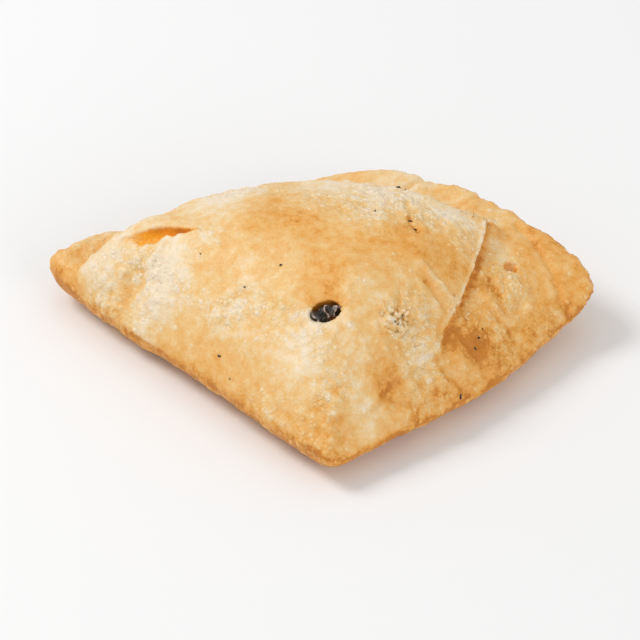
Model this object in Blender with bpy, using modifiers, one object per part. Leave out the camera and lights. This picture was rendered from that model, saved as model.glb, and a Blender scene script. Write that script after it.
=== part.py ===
"""A fried dough triangle with one peppercorn pressed into its face.

A round of layered dough is folded in half and in half again, so four layers meet at the fold point. The upper
fold stops short of the lower one along the right side, and the four cut edges spread apart along the arc.
While modelling, the fold point is at x = 0, y = 0 and +Y runs towards the arc. At the end the model moves so
that its origin is the middle of its base.
"""

import math

import bmesh
import bpy
from mathutils import Matrix, Vector, noise

MM = 0.001

# Outline: each flap is a slice of the round, from its left fold to its right fold
LEFT_FOLD = math.radians(134.5)
LOWER_RIGHT_FOLD = math.radians(42.5)
UPPER_RIGHT_FOLD = math.radians(60)
SIDE = 51 * MM
# Reach of each arc, as (share of the way from the left fold to the right fold, distance in mm)
LOWER_REACH = (
    (0, 58.8), (0.08, 57.0), (0.2, 53.0), (0.3, 53.4), (0.5, 54.6), (0.79, 53.4), (0.83, 52.0), (1, 50.6),
)
UPPER_REACH = ((0, 52.5), (0.15, 48.4), (0.3, 49.6), (0.5, 48.2), (0.7, 47.8), (0.85, 46.6), (1, 47.4))
LOWER_CORNER_BLEND = 1.5 * MM
UPPER_CORNER_BLEND = 0.6 * MM
LEFT_BOW = -0.3 * MM
LOWER_RIGHT_BOW = 2.0 * MM
UPPER_RIGHT_BOW = 3.1 * MM
ARC_WAVE = 0.6 * MM
ARC_WAVE_LENGTH = 9 * MM
ARC_RUFFLE = 0.35 * MM
ARC_RUFFLE_LENGTH = 3.5 * MM

# Heights: a pillow that puffs up from the folds, with the cut edges lifted along the arc
LEAF = 2.0 * MM
PUFF_BLEND = 4.0 * MM
BASE_SINK = 0.5 * MM
BASE_EDGE_LIFT = 3.0 * MM
BASE_EDGE_WIDTH = 11 * MM
LOWER_EDGE_HEIGHT = 5.4 * MM
LOWER_PUFF = 9.6 * MM
LOWER_PUFF_WIDTH = 18 * MM
# Lift of each arc, as (share of the way from the left fold to the right fold, height in mm)
LOWER_ARC_LIFT = (
    (0, 0), (0.15, 2.2), (0.4, 4.8), (0.57, 8.2), (0.72, 7.6), (0.79, 6.2), (0.84, 5.8), (1, 2.2),
)
BASE_ARC_LIFT = ((0, 0), (0.2, 0.3), (0.5, 2.2), (0.85, 2.4), (1, 1.2))
UPPER_ARC_LIFT = ((0, 1.5), (0.15, 2.3), (0.3, 4.0), (0.5, 3.8), (0.8, 3.2), (1, 2.6))
UPPER_EDGE_THICKNESS = ((0, 2.2), (0.6, 1.4), (1, 0.7))
UPPER_PUFF = 3.8 * MM
UPPER_PUFF_WIDTH = 16 * MM
UPPER_INNER_GAP = 0.3 * MM
ARC_LIFT_WIDTH = 11 * MM
TIP_CURL = 1.8 * MM
TIP_CURL_WIDTH = 24 * MM
NUB = 4.2 * MM
NUB_WIDTH = 17 * MM
LUMP = 0.45 * MM
LUMP_LENGTH = 13 * MM

# Where the leaves part, in from the arc: not at all near a fold, then deeper over the distance GROWTH
SPLIT_DEPTH = 6 * MM
SPLIT_START = 5 * MM
SPLIT_GROWTH = 9 * MM
FOLD_ROUND = 4.2 * MM
LOWER_FOLD_ROUND = 2.8 * MM

# Pinch: a slot in the face near the left tip, with its far lip raised
PINCH_PLACE = (-23.8 * MM, 35.2 * MM)
PINCH_HALF = (6.4 * MM, 1.5 * MM, 2.2 * MM)
PINCH_TURN = math.radians(-17)
PINCH_TILT = math.radians(-21)
PINCH_LIP = 1.3 * MM
PINCH_LIP_WIDTH = 8 * MM

# Pit: a burst blister on the lower flap
PIT_PLACE = (24.7 * MM, 34.0 * MM)
PIT_HALF = (0.9 * MM, 1.3 * MM, 1.2 * MM)
PIT_TURN = math.radians(-30)
PIT_TILT = math.radians(20)

# Peppercorn, more than half sunk in a pocket
PEPPER_PLACE = (-0.7 * MM, 18.4 * MM)
PEPPER_HALF = Vector((2.3 * MM, 1.45 * MM, 1.4 * MM))
PEPPER_TURN = math.radians(18)
PEPPER_WRINKLE = 0.25 * MM
PEPPER_WRINKLE_LENGTH = 1.5 * MM
PEPPER_SINK = 0.6 * MM
POCKET_GAP = 0.35 * MM
DIMPLE_DEPTH = 1.0 * MM
DIMPLE_WIDTH = 6.0 * MM

# Mesh: points round each leaf, rings from its top to its underside, and the rings' share on the rounded rim
POINTS_ROUND = 156
RINGS = 30
RIM_SHARE = 0.34
VOXEL = 0.62 * MM
SMOOTH_PASSES = 4
KEPT_SHARE = 0.148
MIDDLE = Vector((-1 * MM, 29 * MM))
CUTTER_BLOCK = 120 * MM


def clear_scene():
    for obj in list(bpy.data.objects):
        bpy.data.objects.remove(obj)


def new_collection(name):
    collection = bpy.data.collections.new(name)
    bpy.context.scene.collection.children.link(collection)
    return collection


def new_object(name, bm, collection, material=None):
    mesh = bpy.data.meshes.new(name)
    bm.to_mesh(mesh)
    bm.free()
    obj = bpy.data.objects.new(name, mesh)
    collection.objects.link(obj)
    if material:
        mesh.materials.append(material)
    return obj


def new_material(name, colour, roughness):
    material = bpy.data.materials.new(name)
    material.use_nodes = True
    shader = material.node_tree.nodes["Principled BSDF"]
    shader.inputs["Base Color"].default_value = (*colour, 1)
    shader.inputs["Roughness"].default_value = roughness
    shader.inputs["Metallic"].default_value = 0
    return material


def hump(distance, width):
    """0 at an edge, rising to 1 at this width in from it."""
    share = min(max(distance / width, 0), 1)
    return 1 - (1 - share) ** 2


def flare(distance, width):
    """1 at an edge, falling to 0 at this width in from it."""
    return max(0, 1 - max(distance, 0) / width) ** 2


def wander(x, y, length, seed):
    """Smooth noise, between about -1 and 1."""
    return noise.noise(Vector((x / length, y / length, seed)))


def read_off(table, share):
    """The value in mm at this share of the way along a table, eased between its entries."""
    share = min(max(share, 0), 1)
    for (before, low), (after, high) in zip(table, table[1:]):
        if share <= after:
            part = (share - before) / (after - before)
            return (low + (high - low) * part * part * (3 - 2 * part)) * MM
    return table[-1][1] * MM


def soft_least(distances, blend):
    """The least of these distances, with the corners between them rounded off."""
    return -blend * math.log(sum(math.exp(-d / blend) for d in distances))


class Flap:
    """One fold of the round: how far inside its outline a point lies, and how far from its arc."""

    def __init__(self, right_fold, reach, right_bow, corner_blend, seed):
        self.right_fold = right_fold
        self.reach = reach
        self.right_bow = right_bow
        self.corner_blend = corner_blend
        self.seed = seed

    def share(self, x, y):
        """How far round the slice a point lies, from 0 at the left fold to 1 at the right fold."""
        return (LEFT_FOLD - math.atan2(y, x)) / (LEFT_FOLD - self.right_fold)

    def arc_distance(self, x, y):
        reach = read_off(self.reach, self.share(x, y))
        reach += ARC_WAVE * wander(x, y, ARC_WAVE_LENGTH, self.seed)
        reach += ARC_RUFFLE * wander(x, y, ARC_RUFFLE_LENGTH, self.seed)
        return reach - math.hypot(x, y)

    def fold_distance(self, x, y, angle, side, bow):
        """Distance in from a fold line that leaves the fold point at this angle and bows outwards."""
        along = x * math.cos(angle) + y * math.sin(angle)
        across = side * (x * math.sin(angle) - y * math.cos(angle))
        share = min(max(along / SIDE, 0), 1)
        return across + bow * math.sin(math.pi * share) ** 3

    def left_distance(self, x, y):
        return self.fold_distance(x, y, LEFT_FOLD, 1, LEFT_BOW)

    def right_distance(self, x, y):
        return self.fold_distance(x, y, self.right_fold, -1, self.right_bow)

    def sides(self, x, y):
        return self.left_distance(x, y), self.right_distance(x, y), self.arc_distance(x, y)

    def inside(self, x, y):
        return soft_least(self.sides(x, y), self.corner_blend)

    def depth(self, x, y):
        """Like inside, but rounded much more broadly, so that the puffed top has no ridges."""
        return soft_least(self.sides(x, y), PUFF_BLEND)


LOWER = Flap(LOWER_RIGHT_FOLD, LOWER_REACH, LOWER_RIGHT_BOW, LOWER_CORNER_BLEND, 1.3)
UPPER = Flap(UPPER_RIGHT_FOLD, UPPER_REACH, UPPER_RIGHT_BOW, UPPER_CORNER_BLEND, 5.7)
LEFT_TIP = Vector((math.cos(LEFT_FOLD), math.sin(LEFT_FOLD))) * LOWER_REACH[0][1] * MM
RIGHT_TIP = Vector((math.cos(LOWER_RIGHT_FOLD), math.sin(LOWER_RIGHT_FOLD))) * SIDE


def tip_curl(x, y):
    """How far the right tip curls up."""
    return TIP_CURL * flare((Vector((x, y)) - RIGHT_TIP).length, TIP_CURL_WIDTH)


def nub(x, y):
    """The folded left tip, where the dough is bunched thick."""
    return NUB * flare((Vector((x, y)) - LEFT_TIP).length, NUB_WIDTH)


def base_height(x, y):
    """Underside, which rises towards the folds and curls up along the arc."""
    edge = BASE_EDGE_LIFT * (1 - hump(LOWER.inside(x, y), BASE_EDGE_WIDTH))
    lift = read_off(BASE_ARC_LIFT, LOWER.share(x, y)) * flare(LOWER.arc_distance(x, y), ARC_LIFT_WIDTH)
    return edge + lift + tip_curl(x, y) - BASE_SINK


def lower_pillow(x, y):
    """Top of the lower flap before its cut edge lifts."""
    puff = LOWER_PUFF * hump(LOWER.depth(x, y), LOWER_PUFF_WIDTH)
    puff += tip_curl(x, y) + nub(x, y)
    return LOWER_EDGE_HEIGHT + puff + LUMP * wander(x, y, LUMP_LENGTH, 3.1)


def lower_top(x, y):
    """Top of the lower flap, with its cut edge lifted."""
    lift = read_off(LOWER_ARC_LIFT, LOWER.share(x, y))
    return lower_pillow(x, y) + lift * flare(LOWER.arc_distance(x, y), ARC_LIFT_WIDTH)


def upper_top(x, y):
    """Top of the upper flap: the face, which dips at the peppercorn and rises behind the pinch."""
    thickness = read_off(UPPER_EDGE_THICKNESS, UPPER.share(x, y))
    thickness += UPPER_PUFF * hump(UPPER.depth(x, y), UPPER_PUFF_WIDTH)
    lift = read_off(UPPER_ARC_LIFT, UPPER.share(x, y))
    lift *= flare(UPPER.arc_distance(x, y), ARC_LIFT_WIDTH)
    dimple = DIMPLE_DEPTH * flare(math.dist((x, y), PEPPER_PLACE), DIMPLE_WIDTH)
    lip = PINCH_LIP * flare(math.dist((x, y), PINCH_PLACE), PINCH_LIP_WIDTH)
    puff = thickness + lift + lip - dimple
    return lower_pillow(x, y) + puff + LUMP * wander(x, y, LUMP_LENGTH, 6.4)


def inner_bottom(x, y):
    """Underside of the upper flap, which lifts clear of the lower one along the arc."""
    return lower_pillow(x, y) + UPPER_INNER_GAP * flare(UPPER.arc_distance(x, y), ARC_LIFT_WIDTH)


def leaf_room(flap, left_inset, right_inset):
    """How far inside a leaf a point lies. Its sides start this far in from the folds."""

    def room(x, y):
        left = flap.left_distance(x, y) - left_inset
        right = flap.right_distance(x, y) - right_inset
        return min(flap.inside(x, y), left, right)

    return room


def fill_room(flap, closed_right):
    """How far inside the solid dough a point lies: it reaches the folds and stops short of the arc."""

    def room(x, y):
        from_fold = flap.left_distance(x, y)
        if closed_right:
            from_fold = min(from_fold, flap.right_distance(x, y))
        split = SPLIT_DEPTH * min(max((from_fold - SPLIT_START) / SPLIT_GROWTH, 0), 1)
        return min(flap.inside(x, y), flap.arc_distance(x, y) - split)

    return room


def edge_finder(room):
    """Returns how far from MIDDLE a body's edge lies in each direction."""
    found = {}

    def reach(angle):
        key = round(angle, 5)
        if key not in found:
            near, far = 0.0, 2 * SIDE
            for _ in range(22):
                half = (near + far) / 2
                held = room(MIDDLE.x + half * math.cos(angle), MIDDLE.y + half * math.sin(angle)) > 0
                near, far = (half, far) if held else (near, half)
            found[key] = near
        return found[key]

    return reach


def add_body(bm, room, floor, ceiling, rim):
    """Adds a closed body between two heights: a sphere pressed flat and pulled out to the outline."""
    reach = edge_finder(room)
    sphere = bmesh.ops.create_uvsphere(bm, u_segments=POINTS_ROUND, v_segments=RINGS, radius=1)
    for vertex in sphere["verts"]:
        latitude = math.asin(max(-1, min(1, vertex.co.z)))
        angle = math.atan2(vertex.co.y, vertex.co.x)
        share = abs(latitude) / (math.pi / 2)
        edge = reach(angle)
        if share < RIM_SHARE:
            turn = share / RIM_SHARE * math.pi / 2
            out = edge - rim * (1 - math.cos(turn))
            rise = math.sin(turn)
        else:
            out = (edge - rim) * (1 - share) / (1 - RIM_SHARE)
            rise = 1
        x = MIDDLE.x + out * math.cos(angle)
        y = MIDDLE.y + out * math.sin(angle)
        low, high = floor(x, y), ceiling(x, y)
        vertex.co = (x, y, (low + high) / 2 + math.copysign(rise, latitude) * (high - low) / 2)


def shifted(height, by):
    """The same height function, moved up or down."""
    return lambda x, y: height(x, y) + by


def build_pastry(collection, material):
    """Adds the folded dough: four leaves joined into one body with the solid dough between them."""
    bm = bmesh.new()
    half = LEAF / 2
    face_leaf = leaf_room(UPPER, FOLD_ROUND, 0.2 * MM)
    inner_leaf = leaf_room(UPPER, FOLD_ROUND, FOLD_ROUND)
    lower_leaf = leaf_room(LOWER, FOLD_ROUND, LOWER_FOLD_ROUND)
    # The four leaves, from the face down to the base
    add_body(bm, face_leaf, shifted(upper_top, -LEAF), upper_top, half)
    add_body(bm, inner_leaf, inner_bottom, shifted(inner_bottom, LEAF), half)
    add_body(bm, lower_leaf, shifted(lower_top, -LEAF), lower_top, half)
    add_body(bm, lower_leaf, base_height, shifted(base_height, LEAF), half)
    # The solid dough between them, which stops short of the arc
    add_body(bm, fill_room(LOWER, True), base_height, lower_top, LOWER_FOLD_ROUND)
    add_body(bm, fill_room(UPPER, False), base_height, upper_top, FOLD_ROUND)
    pastry = new_object("pastry", bm, collection, material)
    remesh = pastry.modifiers.new("Join leaves", "REMESH")
    remesh.mode = "VOXEL"
    remesh.voxel_size = VOXEL
    smooth = pastry.modifiers.new("Soften", "SMOOTH")
    smooth.iterations = SMOOTH_PASSES
    smooth.factor = 0.5
    decimate = pastry.modifiers.new("Thin out", "DECIMATE")
    decimate.ratio = KEPT_SHARE
    return pastry


def cut(target, name, bm, collection):
    """Takes a hidden cutter's shape out of the target."""
    cutter = new_object(name, bm, collection)
    cutter.hide_render = True
    cutter.display_type = "WIRE"
    boolean = target.modifiers.new(name, "BOOLEAN")
    boolean.operation = "DIFFERENCE"
    boolean.solver = "EXACT"
    boolean.object = cutter


def cut_base(pastry, collection):
    """Cuts the underside flat where it rests."""
    bm = bmesh.new()
    place = Matrix.Translation((0, MIDDLE.y, -CUTTER_BLOCK / 2))
    bmesh.ops.create_cube(bm, size=CUTTER_BLOCK, matrix=place)
    cut(pastry, "base cutter", bm, collection)


def cut_hollow(pastry, name, centre, half, turn, tilt, collection):
    """Cuts an ellipsoid out of the pastry."""
    bm = bmesh.new()
    attitude = Matrix.Rotation(turn, 4, "Z") @ Matrix.Rotation(tilt, 4, "Y")
    matrix = Matrix.Translation(centre) @ attitude @ Matrix.Diagonal((*half, 1))
    bmesh.ops.create_icosphere(bm, subdivisions=3, radius=1, matrix=matrix)
    cut(pastry, name, bm, collection)


def add_peppercorn(centre, collection, material):
    """Adds the wrinkled, flattened peppercorn."""
    bm = bmesh.new()
    bmesh.ops.create_icosphere(bm, subdivisions=4, radius=1)
    turn = Matrix.Rotation(PEPPER_TURN, 3, "Z")
    for vertex in bm.verts:
        out = vertex.co.normalized()
        place = PEPPER_HALF * out
        wrinkle = noise.ridged_multi_fractal(place / PEPPER_WRINKLE_LENGTH, 0.8, 2, 2, 1, 2)
        vertex.co = centre + turn @ (place + out * PEPPER_WRINKLE * min(max(wrinkle - 1, -1), 1))
    return new_object("peppercorn", bm, collection, material)


def stand_on_origin(main_object):
    """Moves everything so that the origin is at the middle of the main object's base."""
    evaluated = main_object.evaluated_get(bpy.context.evaluated_depsgraph_get())
    xs = [corner[0] for corner in evaluated.bound_box]
    ys = [corner[1] for corner in evaluated.bound_box]
    for obj in bpy.data.objects:
        obj.location.x -= (min(xs) + max(xs)) / 2
        obj.location.y -= (min(ys) + max(ys)) / 2


def main():
    clear_scene()
    collection = new_collection("fried dough triangle")
    cutters = new_collection("cutters")
    crust = new_material("crust", (0.79, 0.5, 0.24), 0.5)
    husk = new_material("husk", (0.045, 0.036, 0.028), 0.6)

    pastry = build_pastry(collection, crust)
    cut_base(pastry, cutters)

    pepper = Vector((*PEPPER_PLACE, upper_top(*PEPPER_PLACE) - PEPPER_SINK))
    clearance = PEPPER_WRINKLE + POCKET_GAP
    pocket = PEPPER_HALF + Vector((clearance, clearance, clearance))
    cut_hollow(pastry, "pocket cutter", pepper, pocket, PEPPER_TURN, 0, cutters)
    add_peppercorn(pepper, collection, husk)

    pinch = Vector((*PINCH_PLACE, upper_top(*PINCH_PLACE)))
    cut_hollow(pastry, "pinch cutter", pinch, PINCH_HALF, PINCH_TURN, PINCH_TILT, cutters)
    pit = Vector((*PIT_PLACE, lower_top(*PIT_PLACE)))
    cut_hollow(pastry, "pit cutter", pit, PIT_HALF, PIT_TURN, PIT_TILT, cutters)

    stand_on_origin(pastry)


main()
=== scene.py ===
"""The looks of a folded, fried dough triangle with a peppercorn pressed into its face."""

import math
import random

import bpy
from mathutils import Matrix, Vector, noise
from mathutils.bvhtree import BVHTree


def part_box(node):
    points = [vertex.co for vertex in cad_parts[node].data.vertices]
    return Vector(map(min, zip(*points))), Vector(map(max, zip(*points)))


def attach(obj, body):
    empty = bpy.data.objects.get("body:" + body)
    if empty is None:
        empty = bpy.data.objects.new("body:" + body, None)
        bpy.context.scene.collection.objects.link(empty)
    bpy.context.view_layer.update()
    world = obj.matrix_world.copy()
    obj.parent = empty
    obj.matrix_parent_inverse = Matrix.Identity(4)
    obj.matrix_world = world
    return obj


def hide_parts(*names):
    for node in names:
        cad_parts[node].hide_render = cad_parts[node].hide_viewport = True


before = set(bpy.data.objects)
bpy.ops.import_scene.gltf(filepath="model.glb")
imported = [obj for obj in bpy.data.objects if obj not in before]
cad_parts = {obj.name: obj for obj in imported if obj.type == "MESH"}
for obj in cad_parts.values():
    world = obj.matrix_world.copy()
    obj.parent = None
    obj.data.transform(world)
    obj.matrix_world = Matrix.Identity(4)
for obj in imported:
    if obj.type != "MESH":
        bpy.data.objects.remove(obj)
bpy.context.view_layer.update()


# ---------------------------------------------------------------- The dough
# One round of layered wheat dough, folded in quarters and fried until it puffs. Its skin is a copy of the solid,
# made finer and then blistered, dented and creased as frying does it. The fold point is nearest the camera, and
# the cut edges run along the arc behind. All places below are in millimetres from the fold point.
MM = 0.001
FOLD_POINT_IN = 39.22
FOLD_POINT_BEFORE = 1.09
crust_low, crust_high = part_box("pastry")
fold_point = Vector((crust_low.x + FOLD_POINT_IN * MM, crust_low.y - FOLD_POINT_BEFORE * MM, 0))
SKIN_VOXEL = 0.32 * MM
MERGE = 0.00001

bpy.ops.object.select_all(action="DESELECT")
dough = bpy.data.objects.new("fried_dough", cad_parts["pastry"].data.copy())
bpy.context.scene.collection.objects.link(dough)
bpy.context.view_layer.objects.active = dough
dough.select_set(True)
dough.data.materials.clear()
bpy.ops.object.mode_set(mode="EDIT")
bpy.ops.mesh.select_all(action="SELECT")
bpy.ops.mesh.remove_doubles(threshold=MERGE)
bpy.ops.object.mode_set(mode="OBJECT")
bpy.ops.object.modifier_add(type="REMESH")
dough.modifiers[-1].mode = "VOXEL"
dough.modifiers[-1].voxel_size = SKIN_VOXEL
bpy.ops.object.modifier_apply(modifier=dough.modifiers[-1].name)
bpy.ops.object.modifier_add(type="SMOOTH")
dough.modifiers[-1].iterations = 2
bpy.ops.object.modifier_apply(modifier=dough.modifiers[-1].name)

# Swellings and dents that frying left, as (x, y, radius, height)
SWELLINGS = (
    (-27.3, 31.6, 2.8, -0.8), (-24.6, 27.6, 4.0, 0.5), (-31.5, 35.4, 3.4, 0.55), (-20.0, 31.5, 3.4, 0.35),
    (-34.6, 40.5, 2.4, -0.5), (-29.5, 37.0, 2.0, 0.35), (7.4, 11.8, 2.2, -0.6), (5.0, 6.6, 2.4, 0.35),
    (12.0, 29.5, 4.0, 0.3), (-4.5, 11.0, 3.2, 0.35), (-9.5, 17.5, 3.4, 0.25), (13.5, 18.5, 2.2, 0.35),
    (22.0, 26.5, 3.2, 0.5), (17.5, 18.2, 2.4, 0.4), (20.4, 21.0, 1.6, -0.5), (25.6, 28.2, 2.0, -0.4),
    (25.0, 31.0, 1.8, 0.35), (27.0, 24.6, 2.2, 0.35), (8.5, 51.0, 3.0, 0.3), (14.5, 50.5, 2.2, -0.35),
    (19.0, 47.5, 2.4, 0.35), (-1.0, 4.6, 2.0, 0.3), (10.2, 8.8, 2.0, 0.35), (14.6, 12.6, 1.8, 0.3),
)
# Creases (below 0) and thin raised folds of skin (above 0), as (x1, y1, x2, y2, width, height)
CREASES = (
    (12.0, 27.4, 14.6, 25.4, 0.34, 0.5), (14.6, 25.4, 17.2, 24.8, 0.34, 0.5), (13.0, 25.2, 15.2, 23.6, 0.5, -0.4),
    (10.6, 36.2, 10.9, 34.4, 0.32, -0.5), (10.9, 34.4, 11.6, 33.0, 0.32, -0.55), (12.2, 35.2, 12.7, 33.4, 0.4, 0.3),
    (21.4, 31.0, 23.8, 26.6, 0.5, -0.35), (20.4, 26.6, 25.2, 23.6, 0.5, -0.3), (17.2, 21.4, 21.6, 17.6, 0.5, -0.35),
    (9.2, 15.6, 12.6, 12.8, 0.5, -0.3), (2.6, 16.6, 5.2, 13.0, 0.4, 0.25), (5.8, 17.0, 7.8, 13.8, 0.4, 0.3),
    (-1.6, 11.4, 0.6, 15.6, 0.4, 0.2), (-30.4, 32.6, -26.4, 29.5, 0.45, -0.25), (-22.5, 31.5, -20.2, 34.2, 0.4, 0.25),
    (-25.4, 31.0, -23.4, 33.4, 0.4, 0.3), (10.5, 50.0, 13.5, 52.5, 0.4, -0.35), (17.0, 45.6, 20.6, 48.4, 0.4, -0.35),
    (23.2, 24.2, 27.8, 29.4, 0.45, 0.3), (14.8, 15.6, 18.6, 14.6, 0.5, -0.35), (6.6, 9.8, 11.4, 10.6, 0.45, -0.35),
    (-34.4, 38.2, -32.6, 41.4, 0.5, -0.4), (1.6, 20.2, 3.4, 22.2, 0.35, 0.25), (2.2, 16.0, 2.4, 20.4, 0.35, 0.22),
)
# The right edge of the upper flap, from its rear corner down to where it runs out, as (x, y, z)
FLAP_EDGE = (
    (21.4, 40.2, 14.0), (20.8, 36.3, 14.1), (19.7, 32.9, 13.9), (18.7, 29.1, 13.3), (17.6, 25.9, 12.6),
    (16.5, 23.3, 12.2), (15.4, 20.8, 11.6), (14.2, 17.6, 10.1), (11.0, 14.7, 9.9), (7.8, 11.7, 9.5), (4.6, 7.9, 8.0),
)
# The groove inside the smooth rim at the right tip
RIM_GROOVE = ((25.6, 43.6), (28.1, 39.6), (30.0, 36.4), (31.2, 33.4), (31.8, 30.8), (33.2, 29.4))
# Browned (above 0) and pale (below 0) patches of crust, as (x, y, radius, amount)
PATCHES = (
    (-9.5, 37.0, 5.0, 0.2), (-5.5, 31.0, 5.5, 0.2), (9.6, 34.8, 5.0, 0.12), (14.2, 29.2, 5.5, 0.16),
    (3.0, 27.0, 6.0, 0.1), (-1.0, 22.6, 3.6, 0.26), (0.0, 2.6, 4.5, 0.28), (-6.8, 8.0, 3.4, 0.1),
    (7.4, 11.8, 2.6, 0.4), (9.0, 18.9, 2.6, 0.06), (-37.0, 41.0, 5.0, 0.16), (-27.3, 32.0, 3.0, 0.14),
    (20.8, 33.4, 2.0, 0.34), (20.4, 21.0, 2.2, 0.34), (19.0, 48.0, 3.6, 0.1), (16.4, 20.0, 2.2, 0.26),
    (29.8, 26.6, 4.0, 0.24), (23.6, 20.6, 5.0, 0.26), (14.0, 10.6, 4.0, 0.2), (27.0, 37.4, 2.6, 0.14),
    (22.6, 40.6, 2.2, 0.24), (21.4, 29.6, 2.6, 0.16), (-14.0, 29.0, 5.0, 0.06), (18.6, 24.0, 2.0, 0.16),
    (-15.5, 38.6, 5.5, -0.34), (6.0, 39.6, 5.0, -0.2), (-24.8, 27.6, 5.0, -0.42), (-31.0, 35.2, 4.4, -0.34),
    (-21.0, 32.4, 4.4, -0.36), (-17.0, 24.0, 4.4, -0.14), (-6.0, 14.6, 4.8, -0.28), (-3.6, 9.4, 3.6, -0.16),
    (4.6, 7.0, 2.8, -0.18), (-12.0, 19.6, 4.6, -0.14), (22.4, 26.6, 3.0, -0.06), (17.4, 17.4, 2.6, -0.06),
    (8.2, 43.0, 4.4, -0.3), (16.6, 40.6, 4.0, -0.3), (0.0, 45.0, 5.0, -0.24), (10.0, 51.4, 5.0, -0.26),
    (-15.0, 45.4, 5.0, -0.26), (23.4, 37.2, 1.8, -0.08), (2.0, 14.8, 3.2, -0.16), (12.4, 16.6, 2.4, -0.14),
    (24.0, 28.0, 7.0, 0.14), (20.4, 21.4, 4.5, 0.16), (11.4, 7.4, 4.6, 0.18), (16.6, 19.4, 3.4, 0.16), (18.0, 13.0, 5.0, 0.16), (28.6, 32.0, 5.0, 0.08),
    (10.0, 51.0, 6.0, 0.14), (23.0, 47.0, 4.0, 0.12), (-8.0, 26.0, 6.0, -0.12), (-3.0, 5.0, 5.0, 0.08),
    (-27.0, 40.0, 4.0, -0.1), (26.6, 30.6, 2.4, -0.14), (21.6, 44.0, 2.4, -0.22), (5.6, 20.0, 2.4, -0.12),
)
# Bare, unblistered skin (below 0) and thickly blistered skin (above 0), as (x, y, radius, amount)
BLISTERED = (
    (14.0, 30.0, 5.0, -0.7), (-6.0, 14.4, 3.4, -0.6), (-13.0, 29.0, 5.0, -0.4), (30.8, 38.0, 4.0, -0.8),
    (33.4, 33.6, 3.6, -0.8), (-38.0, 41.0, 4.0, -0.3), (8.0, 24.0, 3.0, -0.3), (3.0, 9.6, 5.0, 0.5),
    (-26.0, 29.0, 5.0, 0.4), (-31.0, 36.0, 4.0, 0.3), (9.0, 19.0, 3.0, 0.6), (22.0, 26.0, 6.0, 0.5),
    (16.0, 16.0, 5.0, 0.5), (9.0, 41.0, 6.0, 0.5), (-3.0, 39.0, 6.0, 0.4), (20.0, 38.0, 3.0, 0.5),
    (-9.0, 12.0, 5.0, 0.2), (14.0, 50.0, 5.0, 0.3),
)


def smooth_step(low, high, value):
    share = min(max((value - low) / (high - low), 0), 1)
    return share * share * (3 - 2 * share)


def blob(distance, radius):
    """1 in the middle, falling smoothly to 0 at the radius."""
    return max(0, 1 - (distance / radius) ** 2) ** 2


def patches_at(x, y, patches):
    """The sum of these (x, y, radius, amount) patches at a point."""
    total = 0
    for at_x, at_y, radius, amount in patches:
        gap = math.hypot(x - at_x, y - at_y)
        if gap < radius * 1.5:
            total += amount * blob(gap, radius * 1.5)
    return total


def nearest_on_line(point, points):
    """How far a point lies from a line through these points, 1 or -1 for its left or right, and how far along."""
    nearest, side, along = 1e9, 1, 0
    for index, (start, end) in enumerate(zip(points, points[1:])):
        run = end - start
        share = min(max((point - start).dot(run) / run.length_squared, 0), 1)
        away = point - start - run * share
        if away.length < nearest:
            nearest = away.length
            side = 1 if run.x * away.y - run.y * away.x > 0 else -1
            along = (index + share) / (len(points) - 1)
    return nearest, side, along


def oval_depth(place, middle, attitude, half):
    """Below 1 inside an oval hollow."""
    turned = attitude @ (place - middle)
    return math.sqrt(sum((turned[axis] / half[axis]) ** 2 for axis in range(3)))


flap_edge = [Vector(point) for point in FLAP_EDGE]
rim_groove = [Vector((*point, 0)) for point in RIM_GROOVE]
creases = [((Vector((x1, y1, 0)), Vector((x2, y2, 0))), width, tall) for x1, y1, x2, y2, width, tall in CREASES]
PINCH_MIDDLE = Vector((-23.8, 35.2, 16.2))
PINCH_HALF = (6.4, 1.45, 2.2)
pinch_up = Matrix.Rotation(math.radians(-17), 3, "Z") @ Matrix.Rotation(math.radians(-21), 3, "Y")
pinch_attitude = pinch_up.inverted()
PIT_MIDDLE = Vector((24.7, 34.0, 11.4))
CRATER_MIDDLE = Vector((8.8, 18.4, 14.9))
pepper_low, pepper_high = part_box("peppercorn")
pepper_middle = ((pepper_low + pepper_high) / 2 - fold_point) / MM
CORN_HALF = (2.3, 1.45, 1.4)
corn_attitude = Matrix.Rotation(math.radians(-18), 3, "Z")

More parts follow.
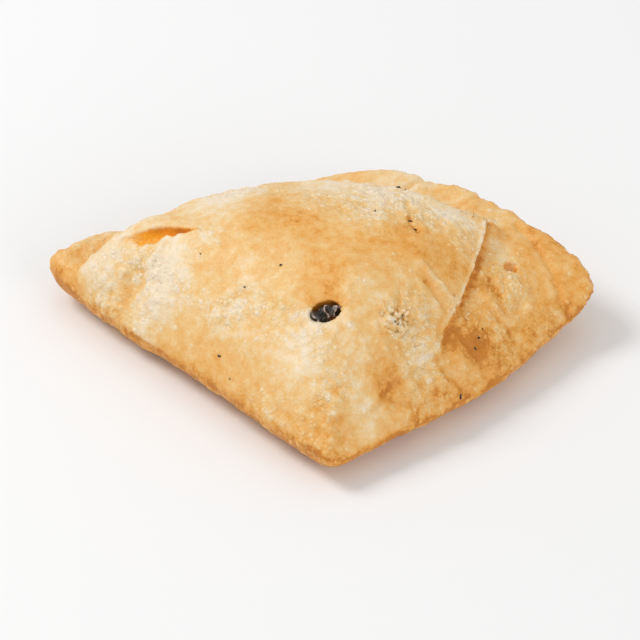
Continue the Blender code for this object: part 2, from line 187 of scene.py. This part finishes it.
skin = dough.data
heights = [0.0] * len(skin.vertices)
toast_and_painted_light = [0.0] * len(skin.vertices)
grain = [0.0] * len(skin.vertices)
slot_glow = [0.0] * len(skin.vertices)
shifts = [Vector((0, 0, 0))] * len(skin.vertices)
for vertex in skin.vertices:
    place = (vertex.co - fold_point) / MM
    normal = vertex.normal
    x, y, z = place
    flat = Vector((x, y, 0))
    wobble = 0.45 * noise.noise_vector(place / 1.7 + Vector((3, 3, 0)))
    reach = math.hypot(x, y)
    outward = (normal.x * x + normal.y * y) / max(reach, 1)
    cut_edge = smooth_step(0.35, 0.8, outward) * smooth_step(38, 42, reach)
    topside = smooth_step(-0.2, 0.4, normal.z)
    crowd = smooth_step(-0.3, 0.5, noise.noise(place / 8 + Vector((5, 5, 2))))
    crowd = min(max(crowd + patches_at(x, y, BLISTERED), 0.06), 1.3)
    # The crust's tone: its browning, together with the painted light and shade added below
    browning_and_painted_light = 0.42 + 0.17 * noise.noise(place / 6.5 + Vector((0, 4, 1))) + 0.15 * noise.noise(place / 2.2)
    # Broad swellings
    height = 0.24 * noise.noise(place / 5.2 + Vector((3, 1, 7)))
    height += (0.08 + 0.2 * crowd) * noise.noise(place / 3.3 + Vector((1, 9, 4)))
    height += (0.05 + 0.13 * crowd) * noise.noise(place / 1.6 + Vector((6, 2, 4)))
    if normal.z > 0:
        height += patches_at(x, y, [(a, b, c / 1.5, d) for a, b, c, d in SWELLINGS])
        browning_and_painted_light += patches_at(x, y, PATCHES)
    # Blisters of two sizes, crowded in some places and missing in others
    near = noise.voronoi(place / 2.1, distance_metric="DISTANCE", exponent=2.5)[0][0]
    big_blister = blob(near, 0.62) * crowd * topside
    near = noise.voronoi(place / 1.05 + Vector((2, 0, 5)), distance_metric="DISTANCE", exponent=2.5)[0][0]
    small_blister = blob(near, 0.7) * (0.15 + 0.85 * crowd)
    height += 0.3 * big_blister + 0.13 * small_blister
    browning_and_painted_light -= 0.2 * big_blister + 0.16 * small_blister
    # Creases and raised folds of skin; the creases darkened with painted shade, the raised folds made paler
    if normal.z > 0:
        for line, width, tall in creases:
            gap = nearest_on_line(flat + wobble, line)[0]
            if gap < 2.5 * width:
                ridge = math.exp(-((gap / width) ** 2))
                height += tall * ridge
                browning_and_painted_light -= 0.5 * tall * ridge
    # The upper flap's edge: a thin pale lip above a groove, and the groove darkened with a painted shadow cast by the
    # flap
    gap, side, along = nearest_on_line(place + 0.35 * wobble, flap_edge)
    if gap < 3:
        across = -side * gap
        crisp = 1 - 0.75 * smooth_step(0.4, 0.8, along)
        crisp *= 1 + 0.5 * noise.noise(place / 1.6 + Vector((6, 0, 6)))
        lip = crisp * math.exp(-(((across - 0.3) / 0.4) ** 2))
        shadowed_groove = crisp * math.exp(-(((across + 0.6) / 0.5) ** 2))
        height += 0.34 * lip - 0.5 * shadowed_groove
        browning_and_painted_light += 0.36 * shadowed_groove - 0.42 * lip
    # The smooth rim at the right tip, with a groove inside it
    gap, side, along = nearest_on_line(flat + wobble, rim_groove)
    if normal.z > 0 and gap < 6 and x > 23:
        dip = math.exp(-((gap / 0.55) ** 2))
        rim = smooth_step(-0.4, 0.8, side * gap) * smooth_step(25, 28, x)
        height += 0.25 * rim - 0.36 * dip
        browning_and_painted_light += 0.24 * rim + 0.2 * dip
    # The crater: cracked, flaky crust
    gap = (place - CRATER_MIDDLE).length
    if gap < 3.2:
        cracks = abs(noise.noise(place / 0.75 + Vector((4, 4, 4)))) * 4
        inner = blob(gap, 3.2)
        height += inner * (0.34 - 0.7 * (1 - smooth_step(0, 0.7, cracks)))
        browning_and_painted_light += inner * (0.85 * (1 - smooth_step(0, 0.6, cracks)) - 0.2)
    # Flaky layers on the cut edges
    layers = noise.noise(Vector((x / 3.0, y / 3.0, z / 0.42)))
    chips = noise.noise(Vector((x / 1.1, y / 1.1, z / 1.6)))
    height += cut_edge * (0.24 * layers + 0.22 * chips)
    browning_and_painted_light += cut_edge * (0.1 - 0.5 * layers)
    # The cut rim of the upper flap is made paler: a painted highlight of the light from behind it
    browning_and_painted_light -= 0.1 * smooth_step(41, 45, reach) * smooth_step(11, 13.5, z) * topside
    # Where the folded sides turn under they are darkened towards orange: painted shade and painted warm bounce light
    turned_under_shade = smooth_step(-0.65, 0.15, -normal.z)
    browning_and_painted_light += 0.44 * turned_under_shade * (1 - cut_edge)
    # The underside is pressed flat where it rests
    height *= 1 - smooth_step(0.4, 0.9, -normal.z) * (1 - smooth_step(0.3, 1.4, z))
    in_slot = 1 - smooth_step(0.93, 1.05, oval_depth(place, PINCH_MIDDLE, pinch_attitude, PINCH_HALF))
    # Inside the pit the colour is replaced by painted shade, darkest towards its right and front, and a paler patch is
    # set by its left rear lip
    in_pit = 1 - smooth_step(0.8, 1.25, (place - PIT_MIDDLE).length)
    shaded = 0.5 + 0.55 * smooth_step(-0.5, 0.7, x - PIT_MIDDLE.x - 0.5 * (y - PIT_MIDDLE.y))
    browning_and_painted_light -= 0.3 * blob((place - PIT_MIDDLE - Vector((-1.3, 0.6, 0))).length, 1.6)
    browning_and_painted_light += (shaded - browning_and_painted_light) * in_pit
    crowd *= 1 - in_pit
    corn_gap = oval_depth(place, pepper_middle, corn_attitude, CORN_HALF)
    near_corn = 1 - smooth_step(1.15, 1.7, corn_gap)
    height *= 1 - max(in_slot, near_corn, 0.6 * in_pit)
    # The crust grips the peppercorn: its pocket's lips close in on it
    away = place - pepper_middle
    shift = -away * 0.2 * (1 - smooth_step(1.2, 2.2, corn_gap))
    # The slot's near lip is pinched wavily towards the far one, most at its right end
    in_pinch = pinch_attitude @ (place - PINCH_MIDDLE)
    closed = smooth_step(-3.4, -1.3, in_pinch.y) * (1 - smooth_step(-0.3, 0.9, in_pinch.y))
    closed *= (1 - smooth_step(5.2, 7.2, abs(in_pinch.x))) * smooth_step(-2.2, -0.6, in_pinch.z)
    wave = 0.5 + 0.75 * smooth_step(-0.5, 1.8, in_pinch.x) + 0.7 * noise.noise(Vector((x / 1.5, 4, 4)))
    shift += pinch_up @ Vector((0, wave, 0.35 * wave)) * closed
    shifts[vertex.index] = shift * MM
    # Painted shade on the crust above the peppercorn, where its pocket overhangs, and a painted highlight on the pale
    # lip below it
    shaded_above_corn = smooth_step(-0.6, 0.8, away.y)
    browning_and_painted_light += blob(corn_gap, 2.5) * (0.5 * shaded_above_corn - 0.42 * (1 - shaded_above_corn))
    heights[vertex.index] = height * MM
    # The slot's oily amber is brightened as a painted glow of light through the thin dough where it is deep, and pales
    # towards its shallow left end
    slot_glow[vertex.index] = in_slot * (0.35 + 0.65 * smooth_step(-5.6, -2.6, in_pinch.x))
    # Painted shade under the slot's far lip, darkest towards its right end
    browning_and_painted_light += in_slot * (0.5 * smooth_step(-0.6, 0.6, in_pinch.y) * smooth_step(0, 3, in_pinch.x) - 0.1)
    toast_and_painted_light[vertex.index] = browning_and_painted_light
    grain[vertex.index] = crowd

raised = [list(v.co + v.normal * heights[v.index] + shifts[v.index]) for v in skin.vertices]
skin.vertices.foreach_set("co", [number for place in raised for number in place])
skin.update()
for name, values in (("toast_and_painted_light", toast_and_painted_light), ("grain", grain), ("slot_glow", slot_glow)):
    skin.attributes.new(name, "FLOAT", "POINT").data.foreach_set("value", values)
bpy.ops.object.shade_smooth()


def add_node(tree, kind, settings=(), values=()):
    """Adds a shader node with these settings and socket values."""
    node = tree.nodes.new("ShaderNode" + kind)
    for name, value in settings:
        setattr(node, name, value)
    for socket, value in values:
        node.inputs[socket].default_value = value
    return node


def in_millimetres(tree):
    """Object coordinates, counted in millimetres."""
    place = add_node(tree, "TexCoord")
    scaled = add_node(tree, "Mapping", values=(("Scale", (1 / MM, 1 / MM, 1 / MM)),))
    tree.links.new(place.outputs["Object"], scaled.inputs["Vector"])
    return scaled.outputs["Vector"]


def noise_at(tree, place, scale, detail):
    node = add_node(tree, "TexNoise", values=(("Scale", scale), ("Detail", detail)))
    tree.links.new(place, node.inputs["Vector"])
    return node.outputs["Fac"]


def rounds_at(tree, place, scale, radius):
    """Round spots, 1 in their middles, about 1 / scale apart."""
    cells = add_node(tree, "TexVoronoi", values=(("Scale", scale),))
    tree.links.new(place, cells.inputs["Vector"])
    spots = add_node(tree, "MapRange", (("interpolation_type", "SMOOTHSTEP"),),
                     (("From Min", 0), ("From Max", radius), ("To Min", 1), ("To Max", 0)))
    tree.links.new(cells.outputs["Distance"], spots.inputs["Value"])
    return spots.outputs["Result"]


def maths(tree, operation, first, second, third=None):
    node = add_node(tree, "Math", (("operation", operation),))
    for socket, value in enumerate((first, second, third)):
        if value is None:
            continue
        if isinstance(value, (int, float)):
            node.inputs[socket].default_value = value
        else:
            tree.links.new(value, node.inputs[socket])
    return node.outputs["Value"]


def ramp(tree, value, stops):
    node = add_node(tree, "ValToRGB")
    while len(node.color_ramp.elements) < len(stops):
        node.color_ramp.elements.new(0.5)
    for element, (position, colour) in zip(node.color_ramp.elements, stops):
        element.position = position
        element.color = (*colour, 1)
    tree.links.new(value, node.inputs["Fac"])
    return node.outputs["Color"]


def mixed(tree, share, first, second):
    node = add_node(tree, "Mix", (("data_type", "RGBA"),))
    tree.links.new(share, node.inputs["Factor"])
    tree.links.new(first, node.inputs["A"])
    tree.links.new(second, node.inputs["B"])
    return node.outputs["Result"]


# Fried crust, from pale and floury to well browned
CRUST_TONES = (
    (0.0, (0.88, 0.73, 0.53)), (0.22, (0.86, 0.64, 0.36)), (0.42, (0.84, 0.54, 0.22)), (0.62, (0.82, 0.455, 0.14)),
    (0.82, (0.77, 0.355, 0.065)), (1.0, (0.58, 0.21, 0.02)),
)
# The inside of the slot, from golden to amber: its oily colour brightened as a painted glow of light through the thin
# dough
SLOT_GLOW_TONES = ((0.0, (0.93, 0.48, 0.04)), (0.2, (0.90, 0.38, 0.008)), (0.55, (0.78, 0.28, 0.006)),
                (0.9, (0.50, 0.15, 0.004)))
CRUST_SPECULAR = 0.35
CRUST_GLOW = 0.18
CRUST_GLOW_REACH = (0.5 * MM, 0.34 * MM, 0.22 * MM)


def fried_crust(name, driest, glow):
    """Crust toned by an attribute that holds browning together with painted light and shade, blistered by grain, and
    given the slot's oily amber with painted glow by a third attribute.
    """
    material = bpy.data.materials.new(name)
    material.use_nodes = True
    tree = material.node_tree
    shader = tree.nodes["Principled BSDF"]
    at = in_millimetres(tree)
    browned_and_painted_light = add_node(tree, "Attribute", (("attribute_name", "toast_and_painted_light"),)).outputs["Fac"]
    blistery = add_node(tree, "Attribute", (("attribute_name", "grain"),)).outputs["Fac"]
    slot_glow_share = add_node(tree, "Attribute", (("attribute_name", "slot_glow"),)).outputs["Fac"]
    mottle = noise_at(tree, at, 0.8, 3)
    fine = noise_at(tree, at, 2.8, 2)
    bubbles = maths(tree, "MULTIPLY", rounds_at(tree, at, 1.15, 0.62), blistery)
    # Specks: small glossy spots whose paler colour is a painted glint
    glint_specks = maths(tree, "MULTIPLY", rounds_at(tree, at, 2.5, 0.6), maths(tree, "MULTIPLY_ADD", blistery, 0.7, 0.3))
    tone = maths(tree, "MULTIPLY_ADD", maths(tree, "SUBTRACT", mottle, 0.5), 0.72, browned_and_painted_light)
    tone = maths(tree, "MULTIPLY_ADD", maths(tree, "SUBTRACT", fine, 0.5), 0.42, tone)
    tone = maths(tree, "MULTIPLY_ADD", maths(tree, "SUBTRACT", bubbles, 0.3), -0.2, tone)
    tone = maths(tree, "MULTIPLY_ADD", maths(tree, "SUBTRACT", glint_specks, 0.3), -0.14, tone)
    slot_glow_colour = ramp(tree, tone, SLOT_GLOW_TONES)
    colour = mixed(tree, slot_glow_share, ramp(tree, tone, CRUST_TONES), slot_glow_colour)
    tree.links.new(colour, shader.inputs["Base Color"])
    gloss = maths(tree, "MULTIPLY_ADD", mottle, 0.3, driest - 0.25)
    tree.links.new(maths(tree, "MULTIPLY_ADD", glint_specks, -0.22, gloss), shader.inputs["Roughness"])
    relief = maths(tree, "MULTIPLY_ADD", glint_specks, 0.5, bubbles)
    relief = maths(tree, "MULTIPLY_ADD", fine, 0.5, relief)
    bump = add_node(tree, "Bump", values=(("Strength", 0.9), ("Distance", 0.16 * MM)))
    tree.links.new(relief, bump.inputs["Height"])
    tree.links.new(bump.outputs["Normal"], shader.inputs["Normal"])
    shader.inputs["Specular IOR Level"].default_value = CRUST_SPECULAR
    shader.inputs["Subsurface Weight"].default_value = glow
    shader.inputs["Subsurface Radius"].default_value = CRUST_GLOW_REACH
    shader.inputs["Subsurface Scale"].default_value = 1
    return material


crust = fried_crust("fried_crust", 0.6, CRUST_GLOW)
dough.data.materials.append(crust)
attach(dough, "root")
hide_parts("pastry")


# ---------------------------------------------------------------- The peppercorn
# One whole black peppercorn, pressed into the dough before frying and gripped by it. Its dried husk is deeply
# wrinkled, and it has split across, so that it shows as two lumps.
CORN_SIZE = Vector((2.4, 0.98, 1.05)) * MM
CORN_TURN = math.radians(18)
WAIST = 0.42
LOPSIDED = 0.2
CORN_BEND = 0.2 * MM
HUSK_WRINKLE = 0.34 * MM
HUSK_WRINKLE_LENGTH = 1.5 * MM

bpy.ops.object.select_all(action="DESELECT")
bpy.ops.mesh.primitive_ico_sphere_add(subdivisions=6, radius=1, location=(0, 0, 0))
corn = bpy.context.object
corn.name = "pepper_husk"
corn_centre = (pepper_low + pepper_high) / 2
turn = Matrix.Rotation(CORN_TURN, 3, "Z")
ridges = [0.0] * len(corn.data.vertices)
for vertex in corn.data.vertices:
    out = vertex.co.normalized()
    waist = 1 - WAIST * math.exp(-(((out.x - 0.15) / 0.22) ** 2)) * smooth_step(-0.2, 0.6, out.z - out.y)
    plump = waist * (1 - LOPSIDED * out.x)
    place = Vector((CORN_SIZE.x * out.x, CORN_SIZE.y * out.y * plump, CORN_SIZE.z * out.z * plump))
    fold = 1 - 2.6 * abs(noise.noise(place / HUSK_WRINKLE_LENGTH + Vector((2, 5, 1))))
    fold += 0.4 * (1 - 3 * abs(noise.noise(place / (0.5 * HUSK_WRINKLE_LENGTH) + Vector((7, 1, 3)))))
    ridges[vertex.index] = fold
    place.y += CORN_BEND * math.sin(2.4 * out.x)
    vertex.co = corn_centre + turn @ (place + out * HUSK_WRINKLE * (fold - 0.7))
corn.data.attributes.new("ridge", "FLOAT", "POINT").data.foreach_set("value", ridges)
bpy.ops.object.shade_smooth()

# Husk colour by wrinkle height: near-black in the valleys, with painted highlights on the wrinkle crests
HUSK_AND_HIGHLIGHT_TONES = ((0.0, (0.014, 0.009, 0.006)), (0.5, (0.05, 0.034, 0.026)), (0.72, (0.20, 0.14, 0.115)),
              (0.9, (0.62, 0.50, 0.45)))
husk = bpy.data.materials.new("pepper_black")
husk.use_nodes = True
tree = husk.node_tree
shader = tree.nodes["Principled BSDF"]
at = in_millimetres(tree)
crest = add_node(tree, "Attribute", (("attribute_name", "ridge"),)).outputs["Fac"]
dust = noise_at(tree, at, 2.4, 3)
crest = maths(tree, "MULTIPLY_ADD", maths(tree, "SUBTRACT", dust, 0.5), 0.7, maths(tree, "MULTIPLY", crest, 0.72))
tree.links.new(ramp(tree, crest, HUSK_AND_HIGHLIGHT_TONES), shader.inputs["Base Color"])
shader.inputs["Roughness"].default_value = 0.32
bump = add_node(tree, "Bump", values=(("Strength", 0.6), ("Distance", 0.08 * MM)))
tree.links.new(noise_at(tree, at, 5, 3), bump.inputs["Height"])
tree.links.new(bump.outputs["Normal"], shader.inputs["Normal"])
corn.data.materials.append(husk)
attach(corn, "root")
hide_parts("peppercorn")


# ---------------------------------------------------------------- Pepper specks
# Crumbs of crushed pepper that were kneaded into the dough and fried into its skin, each a chip with sharp edges.
# Places in millimetres from the fold point, as (x, y, length, width, turn in degrees).
CHIPS = (
    (9.2, 45.2, 1.5, 0.6, 10), (10.3, 45.0, 0.6, 0.4, 60), (10.7, 35.6, 1.5, 0.32, 105), (11.5, 33.8, 1.2, 0.34, 125),
    (-15.4, 18.3, 0.8, 0.5, 20), (-13.9, 15.4, 0.4, 0.3, 0), (17.5, 14.0, 1.1, 0.5, 70), (20.1, 21.9, 0.6, 0.45, 30),
    (19.6, 20.2, 0.7, 0.3, 80), (20.6, 23.0, 0.35, 0.3, 0), (-11.9, 23.6, 0.5, 0.35, 15), (-7.0, 25.4, 0.7, 0.4, 60),
    (24.0, 15.6, 0.5, 0.4, 40), (-20.5, 45.0, 0.6, 0.4, 10), (6.0, 36.6, 0.4, 0.3, 0), (-18.0, 30.2, 0.35, 0.3, 0),
)
CHIP_THICK = 0.4

skin_tree = BVHTree.FromObject(dough, bpy.context.evaluated_depsgraph_get())
ABOVE = 50 * MM


def on_skin(x, y):
    """The dough's surface straight below a place, and its normal."""
    start = fold_point + Vector((x * MM, y * MM, ABOVE))
    found, normal, _, _ = skin_tree.ray_cast(start, Vector((0, 0, -1)))
    return found, normal


def joined(name, shape, attitudes):
    """One new mesh object holding a copy of this shape at each attitude."""
    corners = [vertex.co.copy() for vertex in shape.vertices]
    sides = [tuple(face.vertices) for face in shape.polygons]
    places, faces = [], []
    for attitude in attitudes:
        first = len(places)
        places += [attitude @ corner for corner in corners]
        faces += [tuple(first + corner for corner in side) for side in sides]
    mesh = bpy.data.meshes.new(name)
    mesh.from_pydata(places, [], faces)
    mesh.validate()
    piece = bpy.data.objects.new(name, mesh)
    bpy.context.scene.collection.objects.link(piece)
    return piece


def laid_on(found, normal, turn_angle, size):
    """A place on the skin, turned about its normal, with a size for each axis."""
    tilt = normal.to_track_quat("Z", "Y").to_matrix().to_4x4()
    return Matrix.Translation(found) @ tilt @ Matrix.Rotation(turn_angle, 4, "Z") @ Matrix.Diagonal((*size, 1))


bpy.ops.object.select_all(action="DESELECT")
bpy.ops.mesh.primitive_ico_sphere_add(subdivisions=2, radius=1, location=(0, 0, 0))
chip = bpy.context.object
for vertex in chip.data.vertices:
    jag = noise.cell(vertex.co * 1.7 + Vector((4, 4, 4)))
    vertex.co *= 0.75 + 0.35 * jag
attitudes = []
for x, y, length, width, angle in CHIPS:
    found, normal = on_skin(x, y)
    if found is not None:
        size = Vector((length / 2, width / 2, CHIP_THICK / 2)) * MM
        attitudes.append(laid_on(found, normal, math.radians(angle), size))
chips = joined("pepper_specks", chip.data, attitudes)
bpy.data.objects.remove(chip)
chips.data.materials.append(husk)
chips.data.attributes.new("ridge", "FLOAT", "POINT")
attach(chips, "root")


# ---------------------------------------------------------------- Fine blisters
# Beads where steam and oil bubbled through the skin, 0.2 to 1 mm across, in drifts. They set pale and glossy.
BLISTER_COUNT = 1900
BLISTER_RADIUS = (0.12, 0.44)
BLISTER_SINK = 0.3
BLISTER_PALER = 0.24

bpy.ops.object.select_all(action="DESELECT")
bpy.ops.mesh.primitive_ico_sphere_add(subdivisions=2, radius=1, location=(0, 0, 0))
bead = bpy.context.object
bpy.ops.object.mode_set(mode="EDIT")
bpy.ops.mesh.select_all(action="SELECT")
bpy.ops.mesh.bisect(plane_co=(0, 0, -0.3), plane_no=(0, 0, 1), clear_inner=True, use_fill=True)
bpy.ops.object.mode_set(mode="OBJECT")

dice = random.Random(7)
skin_normals = [vertex.normal.copy() for vertex in skin.vertices]
attitudes, bead_toast_and_painted_light = [], []
while len(attitudes) < BLISTER_COUNT:
    index = dice.randrange(len(skin.vertices))
    normal = skin_normals[index]
    found = skin.vertices[index].co
    place = (found - fold_point) / MM
    drift = 0.5 + 0.9 * noise.noise(place / 3.0 + Vector((9, 2, 6))) + 0.6 * noise.noise(place / 9.0)
    wanted = max(drift, 0.03) * grain[index] * (1 - slot_glow[index])
    if normal.z < -0.25 or dice.random() > wanted:
        continue
    if oval_depth(place, pepper_middle, corn_attitude, CORN_HALF) < 1.35:
        continue
    low, high = BLISTER_RADIUS
    radius = (low + (high - low) * dice.random() ** 3) * MM
    stretch = dice.uniform(0.8, 1.3)
    size = (radius * stretch, radius / stretch, radius * dice.uniform(0.4, 0.75))
    bead_toast_and_painted_light += [toast_and_painted_light[index] - BLISTER_PALER * dice.uniform(0.4, 1.2)] * len(bead.data.vertices)
    sunk = found - normal * radius * BLISTER_SINK
    attitudes.append(laid_on(sunk, normal, dice.uniform(0, math.pi), size))
beads = joined("fine_blisters", bead.data, attitudes)
bpy.data.objects.remove(bead)
beads.select_set(True)
bpy.context.view_layer.objects.active = beads
bpy.ops.object.shade_smooth()

for name, values in (("toast_and_painted_light", bead_toast_and_painted_light), ("grain", [0] * len(bead_toast_and_painted_light)), ("slot_glow", [0] * len(bead_toast_and_painted_light))):
    beads.data.attributes.new(name, "FLOAT", "POINT").data.foreach_set("value", values)
bead_crust = fried_crust("blister_crust", 0.42, 0)
beads.data.materials.append(bead_crust)
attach(beads, "root")


# ---------------------------------------------------------------- Flakes
# Thin curled flakes that lifted off the flap's corner and round the crater. They stayed pale. Each is a small plate of
# skin, bent and standing up a little from the crust.
FLAKE_PLACES = (
    (20.4, 41.0, 1.5), (21.6, 40.9, 1.3), (22.6, 41.8, 1.2), (19.2, 41.5, 1.3), (22.4, 43.4, 1.4), (18.2, 42.0, 1.4),
    (17.0, 24.6, 1.3), (18.6, 24.0, 1.2), (16.6, 23.4, 1.1), (7.8, 19.7, 1.3), (9.8, 19.3, 1.2), (7.0, 18.6, 1.1),
    (10.1, 17.7, 1.2), (11.6, 17.0, 1.3), (12.0, 36.2, 1.2), (10.0, 36.6, 1.1), (20.9, 42.4, 1.2), (12.9, 20.4, 1.2),
)

bpy.ops.object.select_all(action="DESELECT")
bpy.ops.mesh.primitive_grid_add(x_subdivisions=5, y_subdivisions=4, size=2, location=(0, 0, 0))
flake = bpy.context.object
for vertex in flake.data.vertices:
    x, y, _ = vertex.co
    rag = 1 + 0.45 * noise.noise(Vector((math.atan2(y, x) * 1.3, 2, 7)))
    vertex.co = Vector((x * rag, y * rag * 0.7, 0.22 * x * x + 0.3 * noise.noise(Vector((x, y, 3)) * 1.5)))
bpy.ops.object.modifier_add(type="SOLIDIFY")
flake.modifiers[-1].thickness = 0.3
bpy.ops.object.modifier_apply(modifier=flake.modifiers[-1].name)

attitudes, flake_toast = [], []
spots = [(*on_skin(x, y), size) for x, y, size in FLAKE_PLACES]
for found, normal, size in spots:
    if found is None:
        continue
    leaning = (normal + 0.3 * Vector((dice.uniform(-1, 1), dice.uniform(-1, 1), 0.2))).normalized()
    scale = (size / 2 * MM, size / 2 * MM, size / 2 * MM)
    attitudes.append(laid_on(found - normal * 0.04 * MM, leaning, dice.uniform(0, 2 * math.pi), scale))
    flake_toast += [dice.uniform(0.12, 0.34)] * len(flake.data.vertices)
flakes = joined("dough_flakes", flake.data, attitudes)
bpy.data.objects.remove(flake)
FLAKE_GRAIN = 0.3
corners = len(flake_toast)
for name, values in (("toast_and_painted_light", flake_toast), ("grain", [FLAKE_GRAIN] * corners), ("slot_glow", [0] * corners)):
    flakes.data.attributes.new(name, "FLOAT", "POINT").data.foreach_set("value", values)
flakes.select_set(True)
bpy.context.view_layer.objects.active = flakes
bpy.ops.object.shade_smooth()
flakes.data.materials.append(bead_crust)
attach(flakes, "root")


# ---------------------------------------------------------------- Floor, light and camera
# A plain white floor under a broad soft light from the upper left and a fainter one from the right, seen from in
# front and above.
bpy.ops.object.select_all(action="DESELECT")
bpy.ops.mesh.primitive_plane_add(size=6)
floor = bpy.context.object
floor.name = "floor"
paper = bpy.data.materials.new("floor_white")
paper.use_nodes = True
paper.node_tree.nodes["Principled BSDF"].inputs["Base Color"].default_value = (0.9, 0.9, 0.9, 1)
paper.node_tree.nodes["Principled BSDF"].inputs["Roughness"].default_value = 0.7
floor.data.materials.append(paper)

world = bpy.data.worlds.new("studio")
bpy.context.scene.world = world
world.use_nodes = True
world.node_tree.nodes["Background"].inputs["Color"].default_value = (1, 1, 1, 1)
world.node_tree.nodes["Background"].inputs["Strength"].default_value = 0.62

subject = Vector((0, -1 * MM, 8 * MM))
LAMPS = (
    ("key", Vector((-0.42, 0.12, 0.5)), 0.28, 1.95),
    ("fill", Vector((0.45, -0.5, 0.35)), 0.5, 1.35),
)
for name, place, width, power in LAMPS:
    lamp = bpy.data.objects.new(name, bpy.data.lights.new(name, "AREA"))
    lamp.data.shape = "DISK"
    lamp.data.size = width
    lamp.data.energy = power
    lamp.location = place
    lamp.rotation_euler = (place - subject).to_track_quat("Z", "Y").to_euler()
    bpy.context.scene.collection.objects.link(lamp)

VIEW_HEIGHT = math.radians(40)
VIEW_DISTANCE = 0.9
eye = bpy.data.objects.new("camera", bpy.data.cameras.new("camera"))
eye.data.lens = 368
eye.data.sensor_width = 36
eye.location = subject + VIEW_DISTANCE * Vector((0, -math.cos(VIEW_HEIGHT), math.sin(VIEW_HEIGHT)))
eye.rotation_euler = (eye.location - subject).to_track_quat("Z", "Y").to_euler()
bpy.context.scene.collection.objects.link(eye)
bpy.context.scene.camera = eye
bpy.context.scene.view_settings.view_transform = "Standard"
